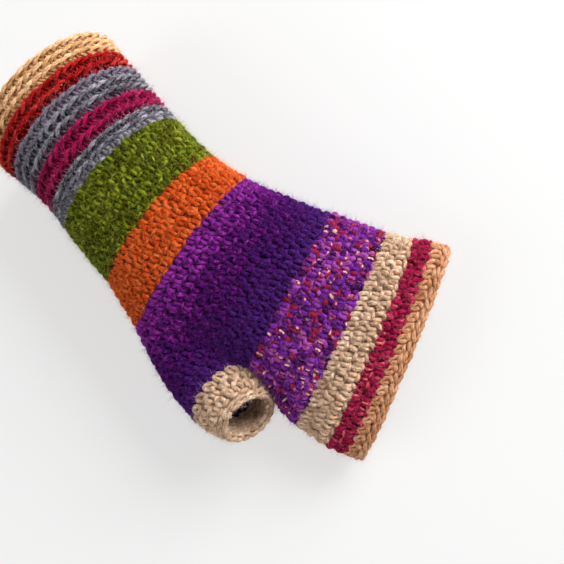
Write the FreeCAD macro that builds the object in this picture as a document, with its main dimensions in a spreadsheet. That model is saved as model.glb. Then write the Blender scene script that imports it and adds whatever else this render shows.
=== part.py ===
"""A crocheted fingerless mitt, worked in the round from the wrist to the fingers.

Each colour band is its own length of yarn, so each band is its own closed ring of fabric. The bands
follow one centreline: straight through the cuff, then one gentle arc that turns the hand sideways and
down, then straight to the finger edge. A band lies between two flat cross-sections of that centreline.
The gusset band widens into a cone that carries the thumb ring. Units are millimetres.
"""

import FreeCAD, Part
import math
import os
import sys

import Sketcher

Vector = FreeCAD.Vector

# Driving dimensions, as the spreadsheet holds them.
LENGTHS = {
    "tan_length": 11.0,
    "red_length": 9.5,
    "grey_length": 13.5,
    "cuff_crimson_length": 10.5,
    "upper_grey_length": 8.5,
    "green_length": 25.0,
    "orange_length": 18.0,
    "purple_length": 40.0,
    "tweed_length": 24.0,
    "beige_length": 12.0,
    "crimson_length": 8.0,
    "edge_length": 7.0,
}

# One cross-section at the start of each band and one at the finger edge:
# name, half the width, half the thickness, and how far it sits to the far side of the centreline.
SECTIONS = [
    ("wrist_rim", 34.5, 26.5, 0.0),
    ("red_start", 34.0, 26.0, 0.0),
    ("grey_start", 33.0, 25.5, 1.0),
    ("cuff_crimson_start", 31.5, 25.0, 2.0),
    ("upper_grey_start", 31.0, 24.5, 2.0),
    ("green_start", 31.0, 24.0, 1.0),
    ("orange_start", 32.0, 22.5, -1.0),
    ("purple_start", 36.5, 20.5, -4.0),
    ("tweed_start", 35.0, 17.0, 4.0),
    ("beige_start", 41.0, 15.0, 0.5),
    ("crimson_start", 43.0, 14.0, 0.0),
    ("edge_start", 44.5, 13.0, 1.0),
    ("finger_rim", 45.0, 12.5, 1.0),
]

SHEET_VALUES = {
    "fabric_thickness": 3.0,
    "arc_start": 35.0,
    "arc_end": 175.0,
    "forearm_yaw": -24.5,
    "forearm_rise": 5.3,
    "hand_fall": 16.7,
    "root_width": 14.0,
    "root_depth": 10.0,
    "gusset_width": 17.0,
    "gusset_depth": 16.0,
    "thumb_base_radius": 16.5,
    "thumb_bind_radius": 12.7,
    "thumb_rim_radius": 11.6,
    "thumb_rise": 27.0,
    "thumb_turn": -17.0,
    "thumb_length": 11.0,
    "thumb_rim_length": 3.5,
    "thumb_swing_room": 1.6,
    "fork_gap": 0.3,
}

BANDS = [
    ("cuff_tan_band", "wrist_rim", "red_start"),
    ("cuff_red_band", "red_start", "grey_start"),
    ("cuff_grey_band", "grey_start", "cuff_crimson_start"),
    ("cuff_crimson_band", "cuff_crimson_start", "upper_grey_start"),
    ("cuff_upper_grey_band", "upper_grey_start", "green_start"),
    ("wrist_green_band", "green_start", "orange_start"),
    ("wrist_orange_band", "orange_start", "purple_start"),
    ("gusset_purple_band", "purple_start", "tweed_start"),
    ("palm_tweed_band", "tweed_start", "beige_start"),
    ("knuckle_beige_band", "beige_start", "crimson_start"),
    ("knuckle_crimson_band", "crimson_start", "edge_start"),
    ("finger_edge_band", "edge_start", "finger_rim"),
]

RING_PARTS = [
    ("thumb_beige_band", "base", "bind"),
    ("thumb_rim_round", "bind", "rim"),
]

# Where the thumb's cone starts inside the purple band, and its middle and base, each measured from
# the cross-section named: along the hand, to the far side, and up.
ROOT_PLACE = ("purple_start", Vector(1.0, -22.0, 0.0))
GUSSET_PLACE = ("tweed_start", Vector(-20.0, -39.0, -2.5))
THUMB_PLACE = ("tweed_start", Vector(-1.5, -46.5, -1.0))
OVERSHOOT = 0.4  # how far a cut runs past the end of a tube, so that the tube is open
FORK_REACH = 14.0  # how far past the fork the hand's hollow is cut, to clear the gusset's cone


def make_sheet(document):
    """The spreadsheet that holds every driving dimension under a word of its own."""
    sheet = document.addObject("Spreadsheet::Sheet", "Sizes")
    values = dict(LENGTHS)
    values.update(SHEET_VALUES)
    for name, half_width, half_depth, shift in SECTIONS:
        values[name + "_width"] = half_width
        values[name + "_depth"] = half_depth
        values[name + "_shift"] = shift
    for row, (alias, value) in enumerate(values.items(), start=1):
        sheet.set("A%d" % row, alias)
        sheet.set("B%d" % row, str(value))
        sheet.setAlias("B%d" % row, alias)
    document.recompute()
    return sheet


def unit(yaw, pitch):
    """A unit vector from a turn about Z and a rise above the XY plane, in degrees."""
    yaw_angle = math.radians(yaw)
    pitch_angle = math.radians(pitch)
    return Vector(
        math.cos(pitch_angle) * math.cos(yaw_angle),
        math.cos(pitch_angle) * math.sin(yaw_angle),
        math.sin(pitch_angle),
    )


def frame_at(sheet, distance):
    """The centreline's point and its width, thickness and length directions, this far from the rim."""
    forearm = unit(sheet.forearm_yaw, sheet.forearm_rise)
    hand = unit(0.0, -sheet.hand_fall)
    turn_axis = forearm.cross(hand).normalize()
    turn = forearm.getAngle(hand)
    inward = turn_axis.cross(forearm)
    side = Vector(0, 0, 1).cross(forearm).normalize()
    upward = forearm.cross(side)
    arc_length = sheet.arc_end - sheet.arc_start
    radius = arc_length / turn
    part_turned = turn * min(max((distance - sheet.arc_start) / arc_length, 0.0), 1.0)
    point = forearm * min(distance - sheet.arc_start, 0.0)
    point += forearm * (radius * math.sin(part_turned))
    point += inward * (radius * (1.0 - math.cos(part_turned)))
    point += hand * max(distance - sheet.arc_end, 0.0)
    rotation = FreeCAD.Rotation(turn_axis, math.degrees(part_turned))
    side = rotation.multVec(side)
    upward = rotation.multVec(upward)
    forward = rotation.multVec(forearm)
    return point, side, upward, forward


def section_places(sheet):
    """The placement of each named cross-section, with its sketch's X to the far side and Y up."""
    places = {}
    distance = 0.0
    lengths = [sheet.get(name) for name in LENGTHS] + [0.0]
    for (name, _, _, _), length in zip(SECTIONS, lengths):
        point, side, upward, forward = frame_at(sheet, distance)
        point += side * sheet.get(name + "_shift")
        places[name] = FreeCAD.Placement(point, FreeCAD.Rotation(side, upward, forward, "ZXY"))
        distance += length
    return places


def moved_place(place, offset, rotation):
    """A placement measured from another one: along the hand, to the far side and up."""
    across = place.Rotation.multVec(Vector(offset.y, offset.z, offset.x))
    return FreeCAD.Placement(place.Base + across, rotation)


def facing(direction):
    """A rotation whose Z points along direction and whose X stays level."""
    level = Vector(0, 0, 1).cross(direction).normalize()
    return FreeCAD.Rotation(level, direction.cross(level), direction, "ZXY")


def origin_plane(body):
    """The body's own XY plane."""
    return [part for part in body.Origin.OriginFeatures if part.Role == "XY_Plane"][0]


def oval(body, name, place, width, depth):
    """A sketch of one oval whose half sizes are expressions of the sheet."""
    sketch = body.newObject("Sketcher::SketchObject", name)
    sketch.AttachmentSupport = [(origin_plane(body), "")]
    sketch.MapMode = "FlatFace"
    sketch.AttachmentOffset = place
    sketch.addGeometry(Part.Ellipse(Vector(0, 0, 0), 20.0, 15.0), False)
    sketch.exposeInternalGeometry(0)
    sketch.addConstraint(Sketcher.Constraint("Coincident", 0, 3, -1, 1))
    sketch.addConstraint(Sketcher.Constraint("Horizontal", 1))
    wide = sketch.addConstraint(Sketcher.Constraint("Distance", 1, 40.0))
    deep = sketch.addConstraint(Sketcher.Constraint("Distance", 2, 30.0))
    sketch.setExpression("Constraints[%d]" % wide, "2 * (%s)" % width)
    sketch.setExpression("Constraints[%d]" % deep, "2 * (%s)" % depth)
    return sketch


def round_sketch(body, name, place, radius):
    """A sketch of one circle whose radius is an expression of the sheet."""
    sketch = body.newObject("Sketcher::SketchObject", name)
    sketch.AttachmentSupport = [(origin_plane(body), "")]
    sketch.MapMode = "FlatFace"
    sketch.AttachmentOffset = place
    sketch.addGeometry(Part.Circle(Vector(0, 0, 0), Vector(0, 0, 1), 10.0), False)
    sketch.addConstraint(Sketcher.Constraint("Coincident", 0, 3, -1, 1))
    size = sketch.addConstraint(Sketcher.Constraint("Radius", 0, 10.0))
    sketch.setExpression("Constraints[%d]" % size, radius)
    return sketch


def loft(body, kind, name, sketches):
    """An additive or subtractive loft through the sketches, in order."""
    feature = body.newObject("PartDesign::" + kind, name)
    feature.Profile = sketches[0]
    feature.Sections = sketches[1:]
    feature.Ruled = False
    feature.Closed = False
    return feature


def outer_size(section, what):
    """The expression for half of a cross-section's outer width or depth."""
    return "Sizes.%s_%s" % (section, what)


def inner_size(section, what):
    """The expression for half of the hollow's width or depth."""
    return outer_size(section, what) + " - Sizes.fabric_thickness"


def pushed(place, distance):
    """A placement moved along its own Z."""
    return FreeCAD.Placement(place.Base + place.Rotation.multVec(Vector(0, 0, distance)), place.Rotation)


def new_body(document, label):
    """An empty body whose label is its node's name."""
    body = document.addObject("PartDesign::Body", label)
    body.Label = label
    return body


def tube_outside(body, places, start, end):
    """The solid oval between two cross-sections."""
    ovals = []
    for section in (start, end):
        width = outer_size(section, "width")
        depth = outer_size(section, "depth")
        ovals.append(oval(body, "outer_" + section, places[section], width, depth))
    return loft(body, "AdditiveLoft", "fabric", ovals)


def tube_hollow(body, places, start, end, reach=OVERSHOOT):
    """The tube's hollow, which runs a little past the fabric at its start and by reach at its end."""
    ovals = []
    for section, distance in ((start, -OVERSHOOT), (end, reach)):
        width = inner_size(section, "width")
        depth = inner_size(section, "depth")
        ovals.append(oval(body, "inner_" + section, pushed(places[section], distance), width, depth))
    return loft(body, "SubtractiveLoft", "hollow", ovals)


def band(document, places, label, start, end):
    """One colour band: an oval tube between two cross-sections."""
    body = new_body(document, label)
    tube_outside(body, places, start, end)
    tube_hollow(body, places, start, end)
    return body


def thumb_places(sheet, places):
    """Where the thumb's cone has its root, middle, base, bind-off round and rim."""
    thumb_way = unit(sheet.thumb_turn, sheet.thumb_rise)
    section, offset = ROOT_PLACE
    root = moved_place(places[section], offset, places[section].Rotation)
    section, offset = GUSSET_PLACE
    middle_way = (unit(sheet.forearm_yaw, 0.0) + thumb_way).normalize()
    middle = moved_place(places[section], offset, facing(middle_way))
    section, offset = THUMB_PLACE
    base = moved_place(places[section], offset, facing(thumb_way))
    bind = pushed(base, sheet.thumb_length)
    rim = pushed(bind, sheet.thumb_rim_length)
    return {"root": root, "middle": middle, "base": base, "bind": bind, "rim": rim}


def cone_sections(body, thumb, name, change, base_push=0.0):
    """The three sections of the gusset's cone, each grown or shrunk by the expression change."""
    base_place = pushed(thumb["base"], base_push)
    root_sizes = ["Sizes.root_width" + change, "Sizes.root_depth" + change]
    middle_sizes = ["Sizes.gusset_width" + change, "Sizes.gusset_depth" + change]
    root = oval(body, name + "_root", thumb["root"], *root_sizes)
    middle = oval(body, name + "_middle", thumb["middle"], *middle_sizes)
    base = round_sketch(body, name + "_base", base_place, "Sizes.thumb_base_radius" + change)
    return [root, middle, base]


def gusset_band(document, places, thumb, label, start, end):
    """The purple band: an oval tube and the thumb's cone as one fabric, hollow all through."""
    body = new_body(document, label)
    tube_outside(body, places, start, end)
    loft(body, "AdditiveLoft", "gusset", cone_sections(body, thumb, "outer_gusset", ""))
    tube_hollow(body, places, start, end, FORK_REACH)
    hollow = cone_sections(body, thumb, "inner_gusset", " - Sizes.fabric_thickness", OVERSHOOT)
    loft(body, "SubtractiveLoft", "gusset_hollow", hollow)
    cut_ring_fork(body, thumb, "Sizes.fork_gap")
    return body


def cut_ring_fork(body, thumb, room):
    """Cuts a band back from the thumb ring, with room to swing at its rim, from the ring's base on."""
    around_ring = [
        round_sketch(body, "fork_base", thumb["base"], "Sizes.thumb_base_radius + Sizes.fork_gap"),
        round_sketch(
            body, "fork_rim", pushed(thumb["rim"], OVERSHOOT), "Sizes.thumb_rim_radius + " + room
        ),
    ]
    loft(body, "SubtractiveLoft", "ring_fork", around_ring)


def tweed_band(document, places, thumb, label, start, end):
    """The tweed band, with its fork cut back from the gusset and from the swing of the thumb ring."""
    body = band(document, places, label, start, end)
    around_cone = cone_sections(body, thumb, "fork_cone", " + Sizes.fork_gap")
    loft(body, "SubtractiveLoft", "cone_fork", around_cone)
    cut_ring_fork(body, thumb, "Sizes.thumb_swing_room")
    return body


def thumb_ring(document, thumb, label, start, end):
    """One part of the thumb ring: a tapered tube along the thumb."""
    body = new_body(document, label)
    start_radius = "Sizes.thumb_%s_radius" % start
    end_radius = "Sizes.thumb_%s_radius" % end
    shell = " - Sizes.fabric_thickness"
    outside = [
        round_sketch(body, "outer_start", thumb[start], start_radius),
        round_sketch(body, "outer_end", thumb[end], end_radius),
    ]
    loft(body, "AdditiveLoft", "fabric", outside)
    inside = [
        round_sketch(body, "inner_start", pushed(thumb[start], -OVERSHOOT), start_radius + shell),
        round_sketch(body, "inner_end", pushed(thumb[end], OVERSHOOT), end_radius + shell),
    ]
    loft(body, "SubtractiveLoft", "hollow", inside)
    return body


def check_document(document):
    """Stops if any object failed or any body is not one valid solid."""
    for item in document.Objects:
        if "Invalid" in item.State or "Error" in item.State:
            sys.exit("%s failed: %s" % (item.Name, item.State))
    for body in document.findObjects("PartDesign::Body"):
        shape = body.Shape
        if shape.isNull() or not shape.isValid() or len(shape.Solids) != 1:
            sys.exit("%s is not one valid solid" % body.Label)


def settle(bodies):
    """Moves everything together so that the box's bottom centre is the origin."""
    box = FreeCAD.BoundBox()
    for body in bodies:
        box.add(body.Shape.optimalBoundingBox(False))
    shift = Vector(-box.Center.x, -box.Center.y, -box.ZMin)
    for body in bodies:
        body.Placement = FreeCAD.Placement(shift, FreeCAD.Rotation())
    print("shift", [round(value, 3) for value in shift])
    print("box", round(box.XLength, 2), round(box.YLength, 2), round(box.ZLength, 2))


def main():
    """Builds the mitt and writes one STEP file for each band."""
    document = FreeCAD.newDocument("mitt")
    sheet = make_sheet(document)
    places = section_places(sheet)
    thumb = thumb_places(sheet, places)
    bodies = []
    for label, start, end in BANDS:
        if label == "gusset_purple_band":
            bodies.append(gusset_band(document, places, thumb, label, start, end))
        elif label == "palm_tweed_band":
            bodies.append(tweed_band(document, places, thumb, label, start, end))
        else:
            bodies.append(band(document, places, label, start, end))
    for label, start, end in RING_PARTS:
        bodies.append(thumb_ring(document, thumb, label, start, end))
    document.recompute()
    check_document(document)
    settle(bodies)
    document.recompute()
    os.makedirs("parts", exist_ok=True)
    for body in bodies:
        body.Shape.exportStep("parts/%s.step" % body.Label)
        print(body.Label, round(body.Shape.Volume / 1000.0, 2), "cm3")


main()
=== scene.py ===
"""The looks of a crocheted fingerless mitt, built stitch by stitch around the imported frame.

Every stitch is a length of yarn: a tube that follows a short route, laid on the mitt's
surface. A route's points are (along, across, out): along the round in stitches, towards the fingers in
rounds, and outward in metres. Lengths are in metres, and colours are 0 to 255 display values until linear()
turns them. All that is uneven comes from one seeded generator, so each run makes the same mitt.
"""

import math

import bpy
import numpy as np
from mathutils import Matrix, Vector


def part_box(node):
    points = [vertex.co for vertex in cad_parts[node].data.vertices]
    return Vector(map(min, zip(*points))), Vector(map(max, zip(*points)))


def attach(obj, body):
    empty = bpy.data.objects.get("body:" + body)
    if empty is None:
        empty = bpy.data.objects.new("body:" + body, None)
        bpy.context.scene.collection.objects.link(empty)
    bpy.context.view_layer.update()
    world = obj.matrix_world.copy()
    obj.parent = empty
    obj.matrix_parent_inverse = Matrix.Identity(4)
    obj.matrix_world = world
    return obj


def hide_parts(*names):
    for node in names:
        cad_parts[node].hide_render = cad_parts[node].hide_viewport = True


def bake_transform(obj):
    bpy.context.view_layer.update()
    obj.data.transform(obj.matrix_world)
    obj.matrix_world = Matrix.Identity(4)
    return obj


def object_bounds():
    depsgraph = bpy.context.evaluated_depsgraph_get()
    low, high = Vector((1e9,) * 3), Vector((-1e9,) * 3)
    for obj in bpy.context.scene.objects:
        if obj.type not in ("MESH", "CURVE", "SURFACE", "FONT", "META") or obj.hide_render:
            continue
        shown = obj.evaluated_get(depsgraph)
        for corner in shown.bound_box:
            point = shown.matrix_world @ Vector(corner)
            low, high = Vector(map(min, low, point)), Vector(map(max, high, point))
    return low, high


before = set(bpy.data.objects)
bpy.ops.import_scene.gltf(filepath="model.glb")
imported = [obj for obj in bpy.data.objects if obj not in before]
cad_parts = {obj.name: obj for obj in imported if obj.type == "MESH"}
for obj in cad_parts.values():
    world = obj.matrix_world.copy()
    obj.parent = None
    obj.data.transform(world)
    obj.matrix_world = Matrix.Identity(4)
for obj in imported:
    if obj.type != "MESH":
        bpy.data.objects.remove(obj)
cad_low, cad_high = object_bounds()
MM = 0.001

# -------- the mitt's surface

# Length of each band along the centreline, from the wrist to the fingers.
BAND_LENGTHS = {
    "tan": 11.0 * MM,
    "red": 9.5 * MM,
    "grey": 13.5 * MM,
    "cuff_crimson": 10.5 * MM,
    "upper_grey": 8.5 * MM,
    "green": 25.0 * MM,
    "orange": 18.0 * MM,
    "purple": 40.0 * MM,
    "tweed": 24.0 * MM,
    "beige": 12.0 * MM,
    "crimson": 8.0 * MM,
    "edge": 7.0 * MM,
}
# Each band's start and the finger rim: half width, half thickness, shift to the far side.
SECTIONS = np.array([
    (34.5, 26.5, 0.0),
    (34.0, 26.0, 0.0),
    (33.0, 25.5, 1.0),
    (31.5, 25.0, 2.0),
    (31.0, 24.5, 2.0),
    (31.0, 24.0, 1.0),
    (32.0, 22.5, -1.0),
    (36.5, 20.5, -4.0),
    (35.0, 17.0, 4.0),
    (41.0, 15.0, 0.5),
    (43.0, 14.0, 0.0),
    (44.5, 13.0, 1.0),
    (45.0, 12.5, 1.0),
]) * MM
FABRIC = 3.0 * MM
ARC_START, ARC_END = 35.0 * MM, 175.0 * MM
FOREARM_YAW, FOREARM_RISE, HAND_FALL = -24.5, 5.3, 16.7
GUSSET_SIZE = (17.0 * MM, 16.0 * MM)
GUSSET_PLACE = (-20.0 * MM, -39.0 * MM, -2.5 * MM)
THUMB_PLACE = (-1.5 * MM, -46.5 * MM, -1.0 * MM)
THUMB_RADII = np.array([16.5, 12.7, 11.6]) * MM
THUMB_LENGTHS = np.array([0.0, 11.0, 14.5]) * MM
THUMB_TURN, THUMB_RISE = -17.0, 27.0
RING_ROOM = 1.9 * MM  # between the thumb ring's fabric and the palm's, where they lie side by side

ENDS = np.cumsum([0.0] + list(BAND_LENGTHS.values()))
STARTS = dict(zip(BAND_LENGTHS, ENDS))
TOTAL_LENGTH = ENDS[-1]
INSET = FABRIC / 2  # every patch below is the middle of the fabric, this far inside the CAD's surface
COLUMNS = 360  # points round a patch

TUBE_STEP = 1.0 * MM
TUBE_MARGIN = 5.0 * MM  # how far the tube's patch runs past both rims
TUBE_DISTANCES = np.arange(-TUBE_MARGIN, TOTAL_LENGTH + TUBE_MARGIN, TUBE_STEP)
SMOOTHING = 3.0 * MM  # the tube's sizes are averaged this far each way, so that no round has a kink
FORK_BACK, FORK_FADE = 15.0 * MM, 5.0 * MM  # the thumb's clearance before its base and past its rim

HAND_COLUMNS = 252  # of a gusset row's columns, those on the hand's side of the two pinches
ROOT_SHARE = 0.14  # of the first purple round, the part that widens into the gusset
PINCH_PASSES = 40  # how often each pinch is smoothed
GUSSET_MARGIN, GUSSET_ROWS = 0.12, 63  # how far the gusset's patch runs past its band, as a share of it

RING_MARGIN = 3.0 * MM  # how far the thumb ring's patch runs past both of its ends
RING_STEP = 0.5 * MM


def unit(yaw, pitch):
    """A unit vector from a turn about Z and a rise above the XY plane, in degrees."""
    yaw, pitch = math.radians(yaw), math.radians(pitch)
    return Vector((math.cos(pitch) * math.cos(yaw), math.cos(pitch) * math.sin(yaw), math.sin(pitch)))


def centreline(distance):
    """The centreline's point and its side, upward and forward directions, this far from the wrist rim."""
    forearm = unit(FOREARM_YAW, FOREARM_RISE)
    hand = unit(0.0, -HAND_FALL)
    axis = forearm.cross(hand).normalized()
    turn = forearm.angle(hand)
    side = Vector((0, 0, 1)).cross(forearm).normalized()
    upward = forearm.cross(side)
    radius = (ARC_END - ARC_START) / turn
    turned = turn * min(max((distance - ARC_START) / (ARC_END - ARC_START), 0.0), 1.0)
    point = forearm * min(distance - ARC_START, 0.0)
    point += forearm * (radius * math.sin(turned)) + axis.cross(forearm) * (radius * (1 - math.cos(turned)))
    point += hand * max(distance - ARC_END, 0.0)
    rotation = Matrix.Rotation(turned, 3, axis)
    return point, rotation @ side, rotation @ upward, rotation @ forearm


def evenly(ring, count, closed=True):
    """The same curve with count points spaced evenly along it."""
    loop = np.vstack([ring, ring[:1]]) if closed else ring
    steps = np.linalg.norm(np.diff(loop, axis=0), axis=1)
    length = np.concatenate([[0.0], np.cumsum(steps)])
    wanted = np.linspace(0.0, length[-1], count, endpoint=not closed)
    return np.stack([np.interp(wanted, length, loop[:, k]) for k in range(3)], axis=1)


def oval(centre, side, upward, width, depth):
    """Evenly spaced points round an oval, from the side direction over the top."""
    angle = np.linspace(0.0, 2 * math.pi, 4 * COLUMNS, endpoint=False)
    across = np.outer(np.cos(angle) * width, np.array(side))
    ring = np.array(centre) + across + np.outer(np.sin(angle) * depth, np.array(upward))
    return evenly(ring, COLUMNS)


def sizes_at(distance):
    """The outer half width, half thickness and shift of the oval this far from the wrist rim."""
    return [np.interp(distance, ENDS, SECTIONS[:, k]) for k in range(3)]


def thumb_oval(centre, way, width, depth):
    """The oval in the middle of the fabric round a centre, across the way that the thumb points there."""
    level = Vector((0, 0, 1)).cross(way).normalized()
    return oval(centre, level, way.cross(level), width - INSET, depth - INSET)


def in_frame():
    """How far the mitt moves from its own centreline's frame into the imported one: the wrist rim's oval
    gives the tan band's low X, high Y and low Z."""
    point, side, upward, _ = centreline(0.0)
    width, depth, shift = sizes_at(0.0)
    rim = oval(point + side * shift, side, upward, width, depth)
    low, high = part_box("cuff_tan_band")
    return Vector((low.x - rim[:, 0].min(), high.y - rim[:, 1].max(), low.z - rim[:, 2].min()))


class Patch:
    """A stretch of fabric as a grid of points: rows towards the fingers, closed columns round it."""

    def __init__(self, grid):
        self.grid = grid
        along = np.gradient(grid, axis=0)
        around = np.roll(grid, -1, axis=1) - np.roll(grid, 1, axis=1)
        normal = np.cross(around, along)
        self.normal = normal / np.linalg.norm(normal, axis=2, keepdims=True)

    def place(self, turn, share, out):
        """Points at these turns round the patch and shares of its length, out above its surface."""
        rows, columns = self.grid.shape[:2]
        row = share * (rows - 1)
        column = (turn % 1.0) * columns
        r0 = np.clip(np.floor(row).astype(int), 0, rows - 2)
        c0 = np.floor(column).astype(int) % columns
        c1 = (c0 + 1) % columns
        past_row = (row - r0)[..., None]
        past_column = (column - np.floor(column))[..., None]

        def between(grid):
            low = grid[r0, c0] * (1 - past_column) + grid[r0, c1] * past_column
            high = grid[r0 + 1, c0] * (1 - past_column) + grid[r0 + 1, c1] * past_column
            return low * (1 - past_row) + high * past_row

        normal = between(self.normal)
        normal /= np.linalg.norm(normal, axis=-1, keepdims=True)
        return between(self.grid) + normal * out[..., None]


SHIFT = in_frame()
TWEED_POINT, TWEED_SIDE, TWEED_UP, TWEED_WAY = centreline(STARTS["tweed"])
TWEED_CENTRE = TWEED_POINT + TWEED_SIDE * sizes_at(STARTS["tweed"])[2] + SHIFT
THUMB_WAY = unit(THUMB_TURN, THUMB_RISE)


def by_tweed(place):
    """A point measured from the tweed band's start: along the hand, to the far side and up."""
    along, aside, above = place
    return TWEED_CENTRE + TWEED_WAY * along + TWEED_SIDE * aside + TWEED_UP * above


THUMB_BASE = by_tweed(THUMB_PLACE)


def clear_of_thumb(points):
    """The points with those inside the thumb ring moved out to its side, as the fork pulls them."""
    away = points - np.array(THUMB_BASE)
    along = away @ np.array(THUMB_WAY)
    radial = away - along[..., None] * np.array(THUMB_WAY)
    distance = np.linalg.norm(radial, axis=-1)
    lengths = np.concatenate([[-FORK_BACK], THUMB_LENGTHS, [THUMB_LENGTHS[-1] + FORK_FADE]])
    radii = np.concatenate([THUMB_RADII[:1], THUMB_RADII, [0.0]])
    wall = np.interp(along, lengths, radii) + INSET + RING_ROOM
    wall = np.where((along < -FORK_BACK) | (along > lengths[-1]), 0.0, wall)
    push = np.maximum(wall - distance, 0.0) / np.maximum(distance, MM)
    return points + radial * push[..., None]


def tube_oval(distance, sizes):
    """The hand tube's oval in the middle of the fabric, this far from the wrist rim."""
    point, side, upward, _ = centreline(distance)
    width, depth, shift = sizes
    return oval(point + side * shift + SHIFT, side, upward, width - INSET, depth - INSET)


def tube_patch():
    """The hand tube from before the wrist rim to past the finger rim."""
    rows = []
    for distance in TUBE_DISTANCES:
        nearby = distance + np.linspace(-SMOOTHING, SMOOTHING, 7)
        rows.append(tube_oval(distance, [values.mean() for values in sizes_at(nearby)]))
    grid = np.array(rows)
    past_fork = TUBE_DISTANCES > STARTS["tweed"] - FORK_BACK
    grid[past_fork] = clear_of_thumb(grid[past_fork])
    return Patch(grid)


def tube_share(distance):
    """The tube patch's share of its length at a distance from the wrist rim."""
    return (distance + TUBE_MARGIN) / ((len(TUBE_DISTANCES) - 1) * TUBE_STEP)


def joined_outline(hand, thumb):
    """One outline round two ovals that overlap, as its hand stretch and its thumb stretch: each starts
    and ends at the two pinches where the ovals cross."""
    count = len(hand)
    top = slice(count // 4, count // 2)
    bottom = slice(count // 2, 3 * count // 4)
    ring_top, ring_bottom = slice(0, count // 4), slice(3 * count // 4, count)
    ends = []
    for hand_part, ring_part in ((top, ring_top), (bottom, ring_bottom)):
        gaps = np.linalg.norm(hand[hand_part, None] - thumb[None, ring_part], axis=2)
        h, t = np.unravel_index(gaps.argmin(), gaps.shape)
        ends.append((h + hand_part.start, t + ring_part.start))
    (hand_top, ring_start), (hand_bottom, ring_end) = ends
    hand_arc = np.vstack([hand[hand_bottom:], hand[: hand_top + 1]])
    return hand_arc, thumb[ring_start : ring_end + 1]


def softened(outline, passes):
    """A closed outline with its corners rounded."""
    for _ in range(passes):
        outline = (np.roll(outline, 1, axis=0) + 2 * outline + np.roll(outline, -1, axis=0)) / 4
    return outline


def gusset_row(arcs):
    """A closed row of the gusset's patch from its two arcs."""
    hand_arc, thumb_arc = arcs
    hand_part = evenly(hand_arc, HAND_COLUMNS + 1, closed=False)[:-1]
    thumb_part = evenly(thumb_arc, COLUMNS - HAND_COLUMNS + 1, closed=False)[:-1]
    return softened(np.vstack([hand_part, thumb_part]), PINCH_PASSES)


def gusset_patch():
    """The purple fabric: from one oval to one outline round the hand and the base of the thumb."""
    start, end = STARTS["purple"], STARTS["tweed"]
    middle = start + (end - start) / 2
    ovals = [tube_oval(distance, sizes_at(distance)) for distance in (start, middle, end)]
    root_half = int(COLUMNS * ROOT_SHARE / 2)
    root_start = COLUMNS - 2 * root_half
    turned = np.roll(ovals[0], COLUMNS // 2 - root_half, axis=0)
    first_arcs = (turned[: root_start + 1], np.vstack([turned[root_start:], turned[:1]]))
    middle_way = (unit(FOREARM_YAW, 0.0) + THUMB_WAY).normalized()
    middle_ring = thumb_oval(by_tweed(GUSSET_PLACE), middle_way, *GUSSET_SIZE)
    base_ring = thumb_oval(THUMB_BASE, THUMB_WAY, THUMB_RADII[0], THUMB_RADII[0])
    keys = [first_arcs, joined_outline(ovals[1], middle_ring), joined_outline(ovals[2], base_ring)]
    first, halfway, last = (gusset_row(arcs) for arcs in keys)
    rows = []
    for share in np.linspace(-GUSSET_MARGIN, 1.0 + GUSSET_MARGIN, GUSSET_ROWS):
        rows.append(
            first * (1 - share) * (1 - 2 * share)
            + halfway * 4 * share * (1 - share)
            + last * share * (2 * share - 1)
        )
    return Patch(np.array(rows))


def thumb_patch():
    """The tapered thumb ring."""
    rows = []
    for distance in np.arange(-RING_MARGIN, THUMB_LENGTHS[-1] + RING_MARGIN + RING_STEP, RING_STEP):
        radius = np.interp(distance, THUMB_LENGTHS, THUMB_RADII)
        rows.append(thumb_oval(THUMB_BASE + THUMB_WAY * distance, THUMB_WAY, radius, radius))
    return Patch(np.array(rows))


# -------- yarn

RANDOM = np.random.default_rng(45)
PLIES, PLY_DEPTH = 4, 0.12  # the depth of the grooves between plies is a share of the yarn's radius
PLY_TURN = 7.0 * MM  # length of yarn for one turn of its plies
ROUGHNESS = 0.07  # how uneven the yarn's surface is, as a share of its radius
SPECKLE = 0.13  # how far the fibres' shades differ from their ply's
TWEED_SPECKLE = 0.045  # less in the tweed, where a shade further on is another colour
SHADE_LIMITS = (0.02, 0.98)  # for plies, before their fibres' speckle
ASKEW = np.array([0.31, 0.59, 0.74])  # a direction that no strand starts along
UV_LENGTH = 10.0 * MM  # length of yarn for one unit of its UVs
CELL_MARGIN = 0.06  # round each strand's own cell of the OFBake UVs
END_TAPER = (0.55, 0.88)  # a strand's radius at its ends and one step in, as a share of the rest


def curved(points, count):
    """A smooth line of count points through a route's few points (a Catmull-Rom curve)."""
    points = np.array(points, float)
    ends = np.vstack([2 * points[0] - points[1], points, 2 * points[-1] - points[-2]])
    where = np.linspace(0.0, len(points) - 1, count)
    k = np.minimum(where.astype(int), len(points) - 2)
    t = (where - k)[:, None]
    p0, p1, p2, p3 = ends[k], ends[k + 1], ends[k + 2], ends[k + 3]
    return 0.5 * (
        2 * p1 + (p2 - p0) * t + (2 * p0 - 5 * p1 + 4 * p2 - p3) * t**2 + (3 * p1 - p0 - 3 * p2 + p3) * t**3
    )


def dot(a, b):
    """Row by row dot products, kept as a last axis of one."""
    return (a * b).sum(axis=-1, keepdims=True)


def directed(vectors):
    """The same directions at unit length."""
    return vectors / np.maximum(np.linalg.norm(vectors, axis=-1, keepdims=True), 1e-12)


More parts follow.
